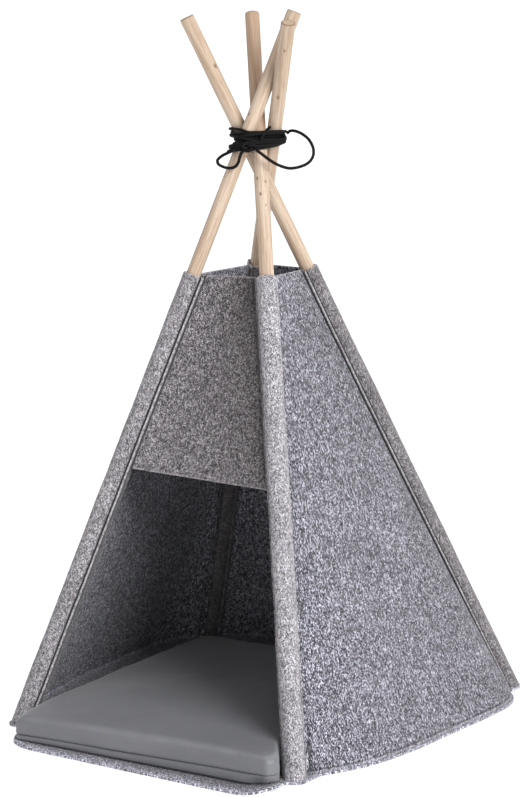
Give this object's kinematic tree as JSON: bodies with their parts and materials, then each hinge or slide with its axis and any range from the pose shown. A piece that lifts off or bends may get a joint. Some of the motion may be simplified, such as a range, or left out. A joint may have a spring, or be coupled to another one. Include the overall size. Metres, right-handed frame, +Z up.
{
  "type": "pet teepee tent",
  "caption": "Felt pet teepee on crossed wooden dowels lashed at the top, with a front entrance under a valance, a felt floor and a loose cushion.",
  "frame": {"origin": "on the floor, under the middle of the base", "axes": "+Z up, the entrance faces -Y, +X to the right of someone facing the entrance from outside"},
  "size_m": [0.505, 0.525, 0.7756],
  "materials": {
    "birch_dowel": "plain sanded birch",
    "wall_felt": "heather grey needled felt",
    "sleeve_felt": "lighter heather grey needled felt",
    "cushion_cloth": "smooth grey woven polyester with a slight sheen",
    "cushion_foam": "open cell foam",
    "elastic_cord": "matt black braided elastic cord"
  },
  "bodies": {
    "cover": {"sleeve_front_left": "sleeve_felt", "sleeve_front_right": "sleeve_felt", "sleeve_back_left": "sleeve_felt", "sleeve_back_right": "sleeve_felt", "wall_left": "wall_felt", "wall_right": "wall_felt", "wall_back": "wall_felt", "valance_front": "wall_felt", "floor_panel": "wall_felt", "lash_wraps": "elastic_cord", "lash_knot": "elastic_cord", "lash_loop_right": "elastic_cord", "lash_loop_left": "elastic_cord", "lash_tail": "elastic_cord"},
    "pole_front_left": {"pole_front_left": "birch_dowel"},
    "pole_front_right": {"pole_front_right": "birch_dowel"},
    "pole_back_left": {"pole_back_left": "birch_dowel"},
    "pole_back_right": {"pole_back_right": "birch_dowel"},
    "cushion": {"cushion_cover_top": "cushion_cloth", "cushion_cover_bottom": "cushion_cloth", "cushion_foam": "cushion_foam"}
  },
  "joints": [
    {"name": "front_left_pole_slide", "type": "slide", "parent": "cover", "child": "pole_front_left", "axis": [0.2707, 0.2753, 0.9225], "range_m": [0, 0.56]},
    {"name": "front_right_pole_slide", "type": "slide", "parent": "cover", "child": "pole_front_right", "axis": [-0.2492, 0.2996, 0.9209], "range_m": [0, 0.56]},
    {"name": "back_left_pole_slide", "type": "slide", "parent": "cover", "child": "pole_back_left", "axis": [0.3304, -0.2513, 0.9098], "range_m": [0, 0.56]},
    {"name": "back_right_pole_slide", "type": "slide", "parent": "cover", "child": "pole_back_right", "axis": [-0.3141, -0.277, 0.9081], "range_m": [0, 0.56]},
    {"name": "cushion_slide", "type": "slide", "parent": "cover", "child": "cushion", "axis": [0, -1, 0], "range_m": [0, 0.4]}
  ]
}
